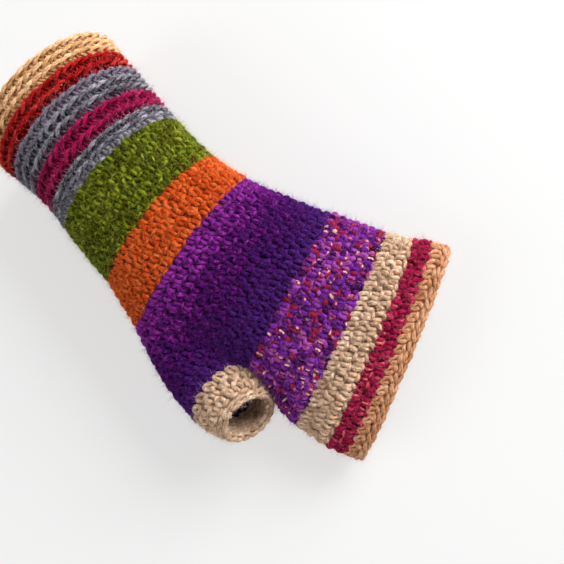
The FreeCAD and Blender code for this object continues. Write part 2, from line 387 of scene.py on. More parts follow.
class Strands:
    """The yarn of one piece, gathered strand by strand and then made into one mesh."""

    def __init__(self, speckle=SPECKLE):
        self.sets = []
        self.speckle = speckle

    def add(self, paths, radius, sides, shade):
        """Tubes along paths (strand, step, xyz), with a shade for each strand, step and ply."""
        radius = np.broadcast_to(radius, paths.shape[:2]).copy()
        radius[:, [0, -1]] *= END_TAPER[0]
        radius[:, [1, -2]] *= END_TAPER[1]
        self.sets.append((paths, radius, sides, shade))

    def piece(self, name):
        """One mesh object of all the strands, smooth, with its yarn's UVs and shades."""
        vertices, faces, uvs, cells, shades = [], [], [], [], []
        strands = sum(len(one[0]) for one in self.sets)
        across = int(math.ceil(math.sqrt(strands)))
        first_vertex = first_strand = 0
        for paths, radius, sides, shade in self.sets:
            count, steps, _ = paths.shape
            points, along, shown = tube_points(paths, radius, sides, shade)
            shown = np.clip(shown + RANDOM.normal(0.0, self.speckle, shown.shape), 0.0, 1.0)
            index = first_vertex + np.arange(count * steps * sides).reshape(count, steps, sides)
            strand = first_strand + np.arange(count)[:, None]
            cell = np.stack([strand % across, strand // across], axis=-1)
            vertices.append(points.reshape(-1, 3))
            shades.append(shown.reshape(-1))
            for corners, u, v in tube_faces(index, along):
                faces.append(corners.reshape(-1, corners.shape[-1]))
                uvs.append(np.stack([u / UV_LENGTH, v], axis=-1).reshape(-1, 2))
                share = np.stack([u / along.max(), v], axis=-1).reshape(count, -1, 2)
                inside = CELL_MARGIN + (1 - 2 * CELL_MARGIN) * share
                cells.append(((cell + inside) / across).reshape(-1, 2))
            first_vertex += points.size // 3
            first_strand += count
        mesh = mesh_from(name, np.vstack(vertices), faces)
        for layer_name, values in (("Yarn", uvs), ("OFBake", cells)):
            layer = mesh.uv_layers.new(name=layer_name)
            layer.data.foreach_set("uv", np.vstack(values).astype(np.float32).ravel())
        mesh.uv_layers.active = mesh.uv_layers["Yarn"]
        attribute = mesh.attributes.new("shade", "FLOAT", "POINT")
        attribute.data.foreach_set("value", np.concatenate(shades).astype(np.float32))
        return shown_object(name, mesh)


def shown_object(name, data):
    """A new object of the scene with this mesh, lamp or camera."""
    made = bpy.data.objects.new(name, data)
    bpy.context.scene.collection.objects.link(made)
    return made


def tube_points(paths, radius, sides, shade):
    """Rings of points along each path, the distance along it, and a shade for each point."""
    count, steps, _ = paths.shape
    tangent = directed(np.gradient(paths, axis=1))
    normal = np.empty_like(paths)
    normal[:, 0] = directed(np.cross(tangent[:, 0], ASKEW))
    for k in range(1, steps):
        carried = normal[:, k - 1]
        normal[:, k] = directed(carried - dot(carried, tangent[:, k]) * tangent[:, k])
    binormal = np.cross(tangent, normal)
    lengths = np.linalg.norm(np.diff(paths, axis=1), axis=2)
    along = np.concatenate([np.zeros((count, 1)), np.cumsum(lengths, axis=1)], axis=1)
    angle = np.arange(sides) * 2 * math.pi / sides
    twisted = PLIES * (angle - 2 * math.pi * along[..., None] / PLY_TURN)
    reach = np.repeat(radius[..., None], sides, axis=2)
    reach *= 1 + PLY_DEPTH * np.cos(twisted) + RANDOM.normal(0.0, ROUGHNESS, reach.shape)
    spoke = normal[:, :, None] * np.cos(angle)[:, None] + binormal[:, :, None] * np.sin(angle)[:, None]
    ply = np.round(twisted / (2 * math.pi)).astype(int) % PLIES
    shown = np.take_along_axis(shade, ply, axis=2)
    return paths[:, :, None] + spoke * reach[..., None], along, shown


def tube_faces(index, along):
    """The quads of each tube and its two end caps, as corners with their u (distance) and v (turn)."""
    count, steps, sides = index.shape
    after = np.roll(index, -1, axis=2)
    quads = np.stack([index[:, :-1], after[:, :-1], after[:, 1:], index[:, 1:]], axis=-1)
    low, high = along[:, :-1, None], along[:, 1:, None]
    u = np.broadcast_to(np.stack([low, low, high, high], axis=-1), quads.shape)
    turn = np.arange(sides + 1) / sides
    v = np.stack([turn[:-1], turn[1:], turn[1:], turn[:-1]], axis=-1)
    yield quads, u, np.broadcast_to(v, quads.shape)
    for end, step in ((0, -1), (steps - 1, 1)):
        cap = index[:, end, ::step]
        yield cap, np.repeat(along[:, end, None], sides, axis=1), np.full(cap.shape, 0.5)


def mesh_from(name, vertices, faces):
    """A smooth mesh from its vertices and arrays of faces."""
    mesh = bpy.data.meshes.new(name)
    corners = np.concatenate([group.ravel() for group in faces])
    sizes = np.concatenate([np.full(len(group), group.shape[1]) for group in faces])
    mesh.vertices.add(len(vertices))
    mesh.vertices.foreach_set("co", vertices.astype(np.float32).ravel())
    mesh.loops.add(len(corners))
    mesh.loops.foreach_set("vertex_index", corners.astype(np.int32))
    mesh.polygons.add(len(sizes))
    mesh.polygons.foreach_set("loop_start", (np.cumsum(sizes) - sizes).astype(np.int32))
    mesh.polygons.foreach_set("use_smooth", np.ones(len(sizes), bool))
    mesh.update(calc_edges=True)
    return mesh


# -------- stitches

# Routes: (along in stitches, across in rounds, out in metres). A plain stitch shows two fat legs that
# round off towards the wrist and dive under the next round.
PLAIN_LEGS = [
    [
        (-0.12, 0.04, -1.1 * MM), (-0.19, 0.08, 0.1 * MM), (-0.27, 0.22, 1.20 * MM),
        (-0.27, 0.44, 1.35 * MM), (-0.18, 0.64, 0.4 * MM), (-0.08, 0.74, -1.1 * MM),
    ],
    [
        (0.05, 0.00, -1.1 * MM), (0.11, 0.05, 0.2 * MM), (0.21, 0.20, 1.30 * MM),
        (0.29, 0.42, 1.45 * MM), (0.29, 0.62, 0.5 * MM), (0.21, 0.76, -1.1 * MM),
    ],
]
PLAIN_BAR = [
    (-0.52, 0.80, -1.2 * MM), (-0.36, 0.79, 0.0 * MM), (-0.14, 0.82, 0.95 * MM),
    (0.10, 0.92, 1.00 * MM), (0.32, 1.01, 0.1 * MM), (0.46, 1.03, -1.2 * MM),
]
# The first beige and peach rounds show their stitches as small open loops.
OPEN_LOOP = [
    (-0.06, 0.84, -0.8 * MM), (-0.16, 0.74, 0.2 * MM), (-0.27, 0.52, 0.95 * MM), (-0.26, 0.24, 1.0 * MM),
    (-0.10, 0.02, 0.85 * MM), (0.10, 0.02, 0.85 * MM), (0.27, 0.24, 1.0 * MM), (0.29, 0.52, 1.0 * MM),
    (0.20, 0.74, 0.2 * MM), (0.10, 0.84, -0.8 * MM),
]
PLAIN_BACKS = [
    [
        (-0.62, row, -0.6 * MM), (-0.30, row + 0.05, -1.0 * MM),
        (0.30, row + 0.08, -1.0 * MM), (0.62, row, -0.6 * MM),
    ]
    for row in (0.2, 0.55, 0.88)
]
# A ridged round: rope-like slanted strands along the ridge, and posts that cross the valley behind it.
RIDGE_TOP = [
    (-0.86, 0.36, -0.6 * MM), (-0.60, 0.34, 0.45 * MM), (-0.28, 0.40, 1.2 * MM), (0.00, 0.48, 1.5 * MM),
    (0.28, 0.56, 1.3 * MM), (0.60, 0.62, 0.5 * MM), (0.86, 0.60, -0.6 * MM),
]
RIDGE_POSTS = [
    [
        (start, 0.60, 0.0), (start - 0.03, 0.85, -0.05 * MM),
        (start - 0.08, 1.10, -0.1 * MM), (start - 0.14, 1.36, 0.1 * MM),
    ]
    for start in (-0.30, 0.15)
]
RIDGE_BACKS = [
    [
        (-0.64, row, -1.0 * MM), (-0.30, row, -1.3 * MM),
        (0.30, row + 0.03, -1.3 * MM), (0.64, row + 0.03, -1.0 * MM),
    ]
    for row in (0.12, 0.37, 0.62, 0.87)
]
# The bound edge: two rows of strands that lean over each other like a braid, and three behind them.
BRAID = [
    [
        (-0.80, 0.54, -0.4 * MM), (-0.50, 0.34, 0.50 * MM), (-0.10, 0.34, 1.00 * MM),
        (0.30, 0.52, 0.95 * MM), (0.62, 0.72, 0.2 * MM),
    ],
    [
        (-0.62, 0.60, -0.2 * MM), (-0.25, 0.82, 0.30 * MM), (0.12, 0.87, 0.45 * MM),
        (0.48, 0.76, 0.3 * MM), (0.80, 0.56, -0.5 * MM),
    ],
    [(-0.62, 0.60, -1.2 * MM), (-0.20, 0.56, -1.2 * MM), (0.25, 0.68, -1.2 * MM), (0.62, 0.80, -1.0 * MM)],
    [(-0.62, 0.26, -0.9 * MM), (-0.20, 0.30, -1.2 * MM), (0.25, 0.28, -1.2 * MM), (0.62, 0.24, -0.9 * MM)],
    [(-0.62, 0.00, -0.7 * MM), (-0.20, 0.02, -1.0 * MM), (0.25, 0.00, -1.0 * MM), (0.62, 0.02, -0.7 * MM)],
]
# Radii of the yarn, points along a strand and round it, in front and behind.
YARN, BACK_YARN, RIDGE_YARN, POST_YARN, BRAID_YARN = 0.91 * MM, 0.85 * MM, 0.74 * MM, 0.60 * MM, 0.80 * MM
LEG_STEPS, LOOP_STEPS, RIDGE_STEPS, BRAID_STEPS, BACK_STEPS = 12, 22, 18, 14, 7
FRONT_SIDES, BACK_SIDES = 12, 6
LOOSE, PLAIN_LOOSE, POST_LOOSE = 0.07, 0.2, 0.25  # how far stitches are turned out of place, in radians
LOOSE_PART = 0.3  # how far their size and place vary, as a share of that
LOOSE_OUT = 2.0 * MM  # the distance outward that counts as one stitch
YARN_SPREAD = 0.06  # how unequal the strands' radii are
WIDE = 1.4  # a stitch's width as a share of its round's height
LEAN = -0.42  # stitches that each round moves along, against the way the turns are counted
VALLEY_PAINTED_SHADE = 0.26  # how much darker the yarn in a valley is: painted shade, for the shadow that falls between the ridges


class Round:
    """One round of stitches on a patch: where it starts and ends and how its stitches are spaced."""

    def __init__(self, patch, start, end, counts, turns, number):
        self.patch, self.start, self.end = patch, start, end
        self.knots = np.concatenate([[0], np.cumsum(counts)])
        self.turns = np.array(turns)
        self.count = int(self.knots[-1])
        self.number = number

    def lay(self, route, steps, loose):
        """The route laid once for each stitch, each a little out of place: (stitch, step, xyz)."""
        line = curved(route, steps)
        middle = line.mean(axis=0)
        little = loose * LOOSE_PART
        wobble = RANDOM.normal(0.0, little, (self.count, 3))
        turned = RANDOM.normal(0.0, loose, (self.count, 1))
        long = (line[:, 0] - middle[0]) * RANDOM.normal(1.0, little, (self.count, 1)) * WIDE
        high = (line[:, 1] - middle[1]) * RANDOM.normal(1.0, little, (self.count, 1))
        along = middle[0] + (np.cos(turned) * long - np.sin(turned) * high) / WIDE + wobble[:, 0:1]
        across = middle[1] + np.sin(turned) * long + np.cos(turned) * high + wobble[:, 1:2]
        out = line[None, :, 2] + wobble[:, 2:3] * LOOSE_OUT
        stitch = np.arange(self.count)[:, None] + 0.5 + along + LEAN * (self.number + across)
        whole = np.floor(stitch / self.count)
        turn = np.interp(stitch - whole * self.count, self.knots, self.turns)
        share = self.start + (self.end - self.start) * across
        return self.patch.place(turn, share, out)


def even_rounds(patch, start, end, rounds, count, share, first=0):
    """Rounds of the same count, each leaning on from the one before."""
    edges = np.linspace(start, end, rounds + 1)
    made = []
    for k in range(rounds):
        low, high = share(edges[k]), share(edges[k + 1])
        made.append(Round(patch, low, high, [count], [0.0, 1.0], first + k))
    return made


def shades_for(count, steps, middle, spread, by_ply, drift=0.05):
    """A shade from 0 to 1 for each strand, step and ply, that drifts a little along the strand."""
    strand = RANDOM.normal(middle, spread, (count, 1, 1))
    ply = RANDOM.normal(0.0, by_ply, (count, 1, PLIES))
    phase = RANDOM.uniform(0, 2 * math.pi, (count, 1, PLIES))
    wave = drift * np.sin(np.linspace(0, 2 * math.pi, steps)[None, :, None] + phase)
    return np.clip(strand + ply + wave, *SHADE_LIMITS)


def add_all(strands, one, routes, steps, radius, sides, shade_of, loose=LOOSE):
    """Each route laid once for each stitch of a round, as tubes of yarn."""
    for route in routes:
        size = radius * RANDOM.normal(1.0, YARN_SPREAD, (one.count, 1))
        strands.add(one.lay(route, steps, loose), size, sides, shade_of(one, steps))


def add_bars(strands, one, shade_of):
    """The bar that closes each plain stitch of a round, and the bars behind it."""
    add_all(strands, one, [PLAIN_BAR], LEG_STEPS, YARN, FRONT_SIDES, shade_of, PLAIN_LOOSE)
    add_all(strands, one, PLAIN_BACKS, BACK_STEPS, BACK_YARN, BACK_SIDES, shade_of)


def add_plain(strands, rounds, shade_of):
    """Plain stitches: two short legs and their bars."""
    for one in rounds:
        add_all(strands, one, PLAIN_LEGS, LEG_STEPS, YARN, FRONT_SIDES, shade_of, PLAIN_LOOSE)
        add_bars(strands, one, shade_of)


def add_looped(strands, rounds, shade_of):
    """Plain stitches that start with a round of open loops."""
    add_all(strands, rounds[0], [OPEN_LOOP], LOOP_STEPS, YARN, FRONT_SIDES, shade_of)
    add_bars(strands, rounds[0], shade_of)
    add_plain(strands, rounds[1:], shade_of)


def add_ridges(strands, rounds, shade_of):
    """Ridged stitches: the rope of slanted strands, the posts in the valley and the bars behind."""

    # The posts and backs in the valley take darker shades of their wool, as painted shade for the shadow
    # between the ridges.
    def in_painted_shade(one, steps):
        return np.clip(shade_of(one, steps) - VALLEY_PAINTED_SHADE, 0.0, 1.0)

    for one in rounds:
        add_all(strands, one, [RIDGE_TOP], RIDGE_STEPS, RIDGE_YARN, FRONT_SIDES, shade_of)
        add_all(strands, one, RIDGE_POSTS, BACK_STEPS, POST_YARN, BACK_SIDES, in_painted_shade, POST_LOOSE)
        add_all(strands, one, RIDGE_BACKS, BACK_STEPS, BACK_YARN, BACK_SIDES, in_painted_shade)


def add_braid(strands, one, shade_of):
    """A bound edge along one round."""
    add_all(strands, one, BRAID, BRAID_STEPS, BRAID_YARN, FRONT_SIDES, shade_of)


# -------- loose fibres

# Fibres for each length of yarn in front, their shortest and longest, their radius and their steps.
FIBRES = [
    (2.7 / MM, 0.5 * MM, 2.8 * MM, 0.040 * MM, 2),
    (1.2 / MM, 1.2 * MM, 3.8 * MM, 0.034 * MM, 3),
]
FIBRE_TIP = 0.3  # a fibre's width at its tip, as a share of its width at its root
FIBRES_OUTWARD = 1.0  # how much more they lean away from the fabric than any other way
FIBRES_ASIDE = 0.5  # how much of their lean along the yarn is taken away
FIBRE_ROOT = 0.85  # where they start, as a share of the yarn's radius
FIBRE_BEND = 0.8  # how far their tips bend aside, as a share of their length
SHORT_FIBRES = 1.7  # a higher number makes more of them short
BARE_ENDS = 5  # each end of a strand, one in this many of its steps, has no fibres


def spikes(paths, radius, first):
    """Three-sided spikes that taper along paths (fibre, step, xyz): their points, and their faces as
    numbers from first on."""
    count, steps, _ = paths.shape
    way = directed(paths[:, -1] - paths[:, 0])
    level = directed(np.cross(way, ASKEW))
    upright = np.cross(way, level)
    angle = np.arange(3) * 2 * math.pi / 3
    spoke = level[:, None] * np.cos(angle)[:, None] + upright[:, None] * np.sin(angle)[:, None]
    width = radius * np.linspace(1.0, FIBRE_TIP, steps)[:-1]
    rings = paths[:, :-1, None] + spoke[:, None] * width[:, None, None]
    points = np.concatenate([rings.reshape(count, -1, 3), paths[:, -1:]], axis=1)
    index = first + np.arange(points.size // 3).reshape(count, -1)
    ring = index[:, :-1].reshape(count, steps - 1, 3)
    after = np.roll(ring, -1, axis=2)
    quads = np.stack([ring[:, :-1], after[:, :-1], after[:, 1:], ring[:, 1:]], axis=-1)
    tips = np.stack([ring[:, -1], after[:, -1], np.repeat(index[:, -1:], 3, axis=1)], axis=-1)
    return points.reshape(-1, 3), [quads.reshape(-1, 4), tips.reshape(-1, 3), ring[:, 0, ::-1]]


def halo(strands, name):
    """One mesh object of the loose fibres that stand off the yarn in front."""
    vertices, faces = [], []
    first = 0
    for paths, radius, sides, _ in strands.sets:
        if sides != FRONT_SIDES:
            continue
        yarn_length = np.linalg.norm(np.diff(paths, axis=1), axis=2).sum()
        steps = paths.shape[1]
        bare = steps // BARE_ENDS
        outward = directed(paths[:, steps // 2] - (paths[:, 0] + paths[:, -1]) / 2)
        for each, shortest, longest, fibre_radius, fibre_steps in FIBRES:
            wanted = int(yarn_length * each)
            which = RANDOM.integers(0, len(paths), wanted)
            step = RANDOM.integers(bare, steps - bare, wanted)
            root = paths[which, step]
            tangent = directed(paths[which, step + 1] - paths[which, step - 1])
            aim = RANDOM.normal(0.0, 1.0, (wanted, 3)) + FIBRES_OUTWARD * outward[which]
            way = directed(aim - FIBRES_ASIDE * dot(aim, tangent) * tangent)[:, None]
            bend = directed(RANDOM.normal(0.0, 1.0, (wanted, 3)))[:, None]
            share = RANDOM.uniform(0.0, 1.0, (wanted, 1, 1)) ** SHORT_FIBRES
            reach = shortest + share * (longest - shortest)
            t = np.linspace(0.0, 1.0, fibre_steps)[None, :, None]
            clear = radius[which, step][:, None, None] * FIBRE_ROOT
            fibre = root[:, None] + way * (clear + reach * t) + bend * reach * t**2 * FIBRE_BEND
            points, made = spikes(fibre, fibre_radius, first)
            vertices.append(points)
            faces += made
            first += len(points)
    return shown_object(name, mesh_from(name, np.vstack(vertices), faces))


# -------- materials

CONTRAST, PURPLE_CONTRAST = 0.55, 0.85  # how far single fibres are lighter or darker than their ply
FIBRE_ANGLE = math.radians(24)  # between the fibres and the yarn


def linear(red, green, blue):
    """A colour written as 0 to 255 display values, as the linear values that a shader takes."""
    values = np.array([red, green, blue]) / 255.0
    return tuple(np.where(values <= 0.04045, values / 12.92, ((values + 0.055) / 1.055) ** 2.4)) + (1.0,)


def set_inputs(node, values):
    """Sets a node's own sockets, each by its name."""
    for name, value in values.items():
        node.inputs[name].default_value = value


def wool_shader(name, colour):
    """A new material whose matt, slightly sheeny shader has this plain colour."""
    material = bpy.data.materials.new(name)
    material.use_nodes = True
    shader = material.node_tree.nodes["Principled BSDF"]
    set_inputs(shader, {
        "Base Color": colour,
        "Roughness": 0.95,
        "Specular IOR Level": 0.06,
        "Sheen Weight": 0.5,
        "Sheen Roughness": 0.5,
        "Sheen Tint": colour,
    })
    return material, shader


def shade_colours(nodes, links, ramp):
    """The colour of each point of the yarn, from its shade and the wool's ramp."""
    shade = nodes.new("ShaderNodeAttribute")
    shade.attribute_name = "shade"
    colours = nodes.new("ShaderNodeValToRGB")
    stops = colours.color_ramp.elements
    while len(stops) < len(ramp):
        stops.new(0.5)
    for stop, (place, colour) in zip(stops, ramp):
        stop.position = place
        stop.color = colour
    links.new(shade.outputs["Fac"], colours.inputs["Fac"])
    return colours.outputs["Color"]


def fibre_pattern(nodes, links):
    """Fine streaks that lie along the yarn at the fibres' angle."""
    yarn = nodes.new("ShaderNodeUVMap")
    yarn.uv_map = "Yarn"
    stretch = nodes.new("ShaderNodeMapping")
    set_inputs(stretch, {"Scale": (3.0, 5.0, 1.0), "Rotation": (0.0, 0.0, FIBRE_ANGLE)})
    links.new(yarn.outputs["UV"], stretch.inputs["Vector"])
    fibres = nodes.new("ShaderNodeTexNoise")
    set_inputs(fibres, {"Scale": 2.2, "Detail": 4.0, "Roughness": 0.65})
    links.new(stretch.outputs["Vector"], fibres.inputs["Vector"])
    return fibres.outputs["Fac"]


def wool(name, ramp, contrast):
    """Soft wool: a colour from the strand's shade, with fibres along the yarn in colour and bump."""
    material, shader = wool_shader(name, ramp[len(ramp) // 2][1])
    nodes, links = material.node_tree.nodes, material.node_tree.links
    colour = shade_colours(nodes, links, ramp)
    fibres = fibre_pattern(nodes, links)
    lighten = nodes.new("ShaderNodeMapRange")
    set_inputs(lighten, {"From Min": 0.35, "From Max": 0.65})
    set_inputs(lighten, {"To Min": 1.0 - contrast, "To Max": 1.0 + contrast})
    links.new(fibres, lighten.inputs["Value"])
    tinted = nodes.new("ShaderNodeVectorMath")
    tinted.operation = "SCALE"
    links.new(colour, tinted.inputs[0])
    links.new(lighten.outputs["Result"], tinted.inputs["Scale"])
    links.new(tinted.outputs["Vector"], shader.inputs["Base Color"])
    bump = nodes.new("ShaderNodeBump")
    set_inputs(bump, {"Strength": 0.8, "Distance": 0.3 * MM})
    links.new(fibres, bump.inputs["Height"])
    links.new(bump.outputs["Normal"], shader.inputs["Normal"])
    return material


# Each wool's colours at their places on the scale of shades, from 0 to 1. Most go from dark to light. The
# grey starts with its mauve end, the beige and knuckle wools end in peach, the purple goes from violet
# to indigo, and the tweed's are its yarns. The cuff wools' darker colours also serve as painted shade in
# the valleys between their ridges.
RAMPS = {
    "tan_wool": [(0.0, (164, 110, 62)), (0.5, (216, 168, 118)), (1.0, (248, 214, 172))],
    "red_wool": [(0.0, (84, 0, 2)), (0.5, (156, 12, 14)), (1.0, (212, 64, 56))],
    "grey_wool": [
        (0.0, (124, 112, 126)), (0.1, (124, 112, 126)), (0.2, (26, 20, 26)),
        (0.5, (98, 94, 102)), (1.0, (178, 176, 186)),
    ],
    "crimson_wool": [(0.0, (86, 2, 36)), (0.55, (142, 10, 62)), (1.0, (180, 46, 98))],
    "green_wool": [
        (0.0, (44, 34, 0)), (0.25, (60, 54, 0)), (0.4, (50, 68, 0)),
        (0.6, (92, 98, 8)), (0.8, (112, 120, 20)), (1.0, (146, 150, 54)),
    ],
    "orange_wool": [(0.0, (140, 38, 2)), (0.5, (180, 66, 16)), (1.0, (220, 114, 56))],
    "purple_wool": [
        (0.0, (136, 42, 138)), (0.3, (80, 8, 88)), (0.6, (50, 4, 70)), (1.0, (62, 26, 96)),
    ],
    "tweed_wool": [
        (0.0, (44, 4, 54)), (0.36, (106, 34, 146)), (0.56, (160, 76, 164)), (0.66, (116, 14, 46)),
        (0.78, (148, 30, 56)), (0.86, (194, 84, 132)), (0.93, (224, 168, 138)), (1.0, (236, 194, 160)),
    ],
    "beige_wool": [
        (0.0, (134, 98, 70)), (0.5, (190, 156, 128)), (0.88, (226, 200, 174)), (1.0, (214, 148, 100)),
    ],
    "peach_wool": [(0.0, (152, 94, 58)), (0.5, (192, 138, 100)), (1.0, (222, 176, 140))],
    "knuckle_wool": [
        (0.0, (96, 2, 32)), (0.5, (142, 12, 56)), (0.88, (174, 48, 84)), (1.0, (204, 112, 92)),
    ],
}
# Each wool's loose fibres' colour, lighter than its yarn: painted light, for the light that shines through
# the thin fibres.
HALO_PAINTED_LIGHT_COLOURS = {
    "tan_wool": (244, 212, 174),
    "red_wool": (220, 100, 94),
    "grey_wool": (166, 164, 176),
    "crimson_wool": (214, 88, 140),
    "green_wool": (158, 168, 74),
    "orange_wool": (240, 140, 80),
    "purple_wool": (120, 56, 150),
    "tweed_wool": (174, 92, 172),
    "beige_wool": (230, 206, 182),
    "peach_wool": (232, 192, 160),
    "knuckle_wool": (206, 88, 118),
}
WOOLS, HALOS = {}, {}
for wool_name, stops in RAMPS.items():
    ramp = [(place, linear(*colour)) for place, colour in stops]
    contrast = PURPLE_CONTRAST if wool_name == "purple_wool" else CONTRAST
    WOOLS[wool_name] = wool(wool_name, ramp, contrast)
    HALOS[wool_name] = wool_shader(wool_name + "_halo", linear(*HALO_PAINTED_LIGHT_COLOURS[wool_name]))[0]


# -------- shades of each band's yarn

# Rounds of each band on the hand tube. The purple rounds lie on the gusset's own patch.
ROUNDS = {
    "tan": 3, "red": 2, "grey": 3, "cuff_crimson": 2, "upper_grey": 3,
    "green": 7, "orange": 5, "tweed": 7, "beige": 3, "crimson": 2,
}
FIRST_ROUND = dict(zip(ROUNDS, np.cumsum([0] + list(ROUNDS.values()))))
GUSSET_ROUNDS = 11
GREY_MAUVE, PEACH = 0.03, 0.97  # shades in the grey wool, and in the beige and knuckle wools
# Shades of the tweed: the last of its violet ones, its wine red and its mauve. Wine red and mauve lie
# where the sum of three waves round the band is above or below these, with ragged ends.
LAST_VIOLET, WINE, MAUVE = 0.42, 0.72, 0.56
WINE_ABOVE, MAUVE_BELOW, RAGGED = 1.4, -1.3, 0.5
# Its flecks: their shade, and the share of the plies that have one.
FLECKS = [(WINE, 0.06), (0.86, 0.10), (0.98, 0.08)]


def mild(one, steps):
    """A shade near the middle of the wool's colours."""
    return shades_for(one.count, steps, 0.5, 0.10, 0.10)


def heathered(one, steps):
    """Plies of clearly different shades, as in heathered yarn."""
    return shades_for(one.count, steps, 0.44, 0.05, 0.20, 0.18)


def flecked(one, steps):
    """Violet yarn that turns wine red or mauve for some stitches at a time, with pink and cream flecks."""
    shape = (one.count, 1, PLIES)
    place = np.arange(one.count)[:, None, None] / one.count
    phase = RANDOM.uniform(0.0, 1.0, 3)
    runs = sum(np.sin(2 * math.pi * (place * (4 + 5 * k) + phase[k])) for k in range(3))
    ground = RANDOM.uniform(0.0, LAST_VIOLET, (one.count, 1, 1)) + RANDOM.uniform(-0.08, 0.08, shape)
    ground = np.where(runs + RANDOM.normal(0.0, RAGGED, shape) > WINE_ABOVE, WINE, ground)
    ground = np.where(runs + RANDOM.normal(0.0, RAGGED, shape) < MAUVE_BELOW, MAUVE, ground)
    ground = ground + np.zeros((one.count, steps, PLIES))
    t = np.linspace(0.0, 1.0, steps)[None, :, None]
    for fleck, chance in FLECKS:
        start = RANDOM.uniform(0.0, 0.7, shape)
        length = RANDOM.uniform(0.2, 0.5, shape)
        chosen = RANDOM.uniform(0.0, 1.0, shape) < chance
        ground = np.where(chosen & (t > start) & (t < start + length), fleck, ground)
    return np.clip(ground, *SHADE_LIMITS)


def fading(one, steps):
    """A shade that changes from round to round, as the purple yarn's colour does."""
    return shades_for(one.count, steps, (one.number + 0.5) / GUSSET_ROUNDS, 0.08, 0.10)


def mauve_first(one, steps):
    """The first grey round is the mauve end of the grey yarn."""
    if one.number == FIRST_ROUND["grey"]:
        return np.full((one.count, steps, PLIES), GREY_MAUVE)
    return shades_for(one.count, steps, 0.58, 0.08, 0.08)


def tinted_last(one, steps):
    """Beige, with peach plies in the round beside the crimson."""
    shade = shades_for(one.count, steps, 0.48, 0.10, 0.10)
    if one.number == FIRST_ROUND["crimson"] - 1:
        peach = RANDOM.uniform(0.0, 1.0, (one.count, 1, PLIES)) < 0.35
        shade = np.where(peach, PEACH, shade)
    return shade


def some_peach(one, steps):
    """Crimson, with a peach ply here and there."""
    shade = shades_for(one.count, steps, 0.48, 0.10, 0.10)
    return np.where(RANDOM.uniform(0.0, 1.0, (one.count, 1, PLIES)) < 0.10, PEACH, shade)


# -------- what each band follows


def on_hand(piece):
    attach(piece, "hand")


def on_cuff(piece):
    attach(piece, "cuff")


def on_thumb(piece):
    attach(piece, "thumb")


def over_wrist(piece):
    """Applies the piece's transform; it follows no body and does not bend. Its points at the green band's
    start and the orange band's end go unused.
    """
    start = Vector(centreline(STARTS["green"])[0]) + SHIFT
    end = Vector(centreline(STARTS["purple"])[0]) + SHIFT
    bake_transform(piece)


def over_thumb_base(piece):
    """Applies the transform of the thumb ring's beige part; it follows no body and does not bend between
    the hand and the thumb.
    """
    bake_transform(piece)


# -------- the bands

HEAVY_ROUNDS = 5  # from this many rounds on, a band is two pieces
STITCHES, FINGER_STITCHES, THUMB_STITCHES = 40, 44, 18  # in a round: before the gusset, past it, thumb
# In a purple round: over the hand, and over the thumb in the first round and the last.
HAND_STITCHES, GUSSET_FIRST, GUSSET_LAST = 34, 6, 20
UPPER_RIDGES = 6.4 * MM  # the ridged part of the upper grey band, before its plain round
THUMB_ROUNDS = 3
# band: stitches, shades, wool, record slot, CAD node and what it follows
CUFF_PLANS = {
    "tan": (add_ridges, mild, "tan_wool", "tan_wool", "cuff_tan_band", on_cuff),
    "red": (add_ridges, mild, "red_wool", "red_wool", "cuff_red_band", on_cuff),
    "grey": (add_ridges, mauve_first, "grey_wool", "grey_wool", "cuff_grey_band", on_cuff),
    "cuff_crimson": (add_ridges, mild, "crimson_wool", "crimson_wool", "cuff_crimson_band", on_cuff),
}
HAND_PLANS = {
    "green": (add_plain, heathered, "green_wool", "green_wool", "wrist_green_band", over_wrist),
    "orange": (add_plain, mild, "orange_wool", "orange_wool", "wrist_orange_band", over_wrist),
    "tweed": (add_plain, flecked, "tweed_wool", "tweed_wool", "palm_tweed_band", on_hand),
    "beige": (add_looped, tinted_last, "beige_wool", "beige_wool", "knuckle_beige_band", on_hand),
    "crimson": (add_plain, some_peach, "knuckle_wool", "crimson_wool", "knuckle_crimson_band", on_hand),
}

tube = tube_patch()
gusset = gusset_patch()
thumb = thumb_patch()


def in_halves(name, rounds):
    """A band's rounds under its name, or as two pieces where one mesh would be too heavy."""
    if len(rounds) < HEAVY_ROUNDS:
        return [(name, rounds)]
    half = (len(rounds) + 1) // 2
    return [(name + "_wristward", rounds[:half]), (name + "_fingerward", rounds[half:])]


def finish_piece(strands, name, material, node, follow):
    """Makes a piece's yarn and its halo, gives them their wool, and hands them to follow, which has most
    pieces follow their bodies.
    """
    yarn = strands.piece(name + "_rounds")
    loose = halo(strands, name + "_halo")
    yarn.data.materials.append(WOOLS[material])
    loose.data.materials.append(HALOS[material])
    for piece in (yarn, loose):
        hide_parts(node)
        follow(piece)


def tube_rounds(band):
    """The rounds of one band on the hand tube."""
    start = STARTS[band]
    end = start + BAND_LENGTHS[band]
    count = FINGER_STITCHES if start > STARTS["purple"] else STITCHES
    return even_rounds(tube, start, end, ROUNDS[band], count, tube_share, FIRST_ROUND[band])


def make_tube_bands(plans):
    """Bands that are whole rounds of the hand tube, all of one stitch."""
    for band, (stitches, shade_of, material, slot_name, node, follow) in plans.items():
        for name, rounds in in_halves(band, tube_rounds(band)):
            strands = Strands(TWEED_SPECKLE if band == "tweed" else SPECKLE)
            stitches(strands, rounds, shade_of)
            finish_piece(strands, name, material, node, follow)


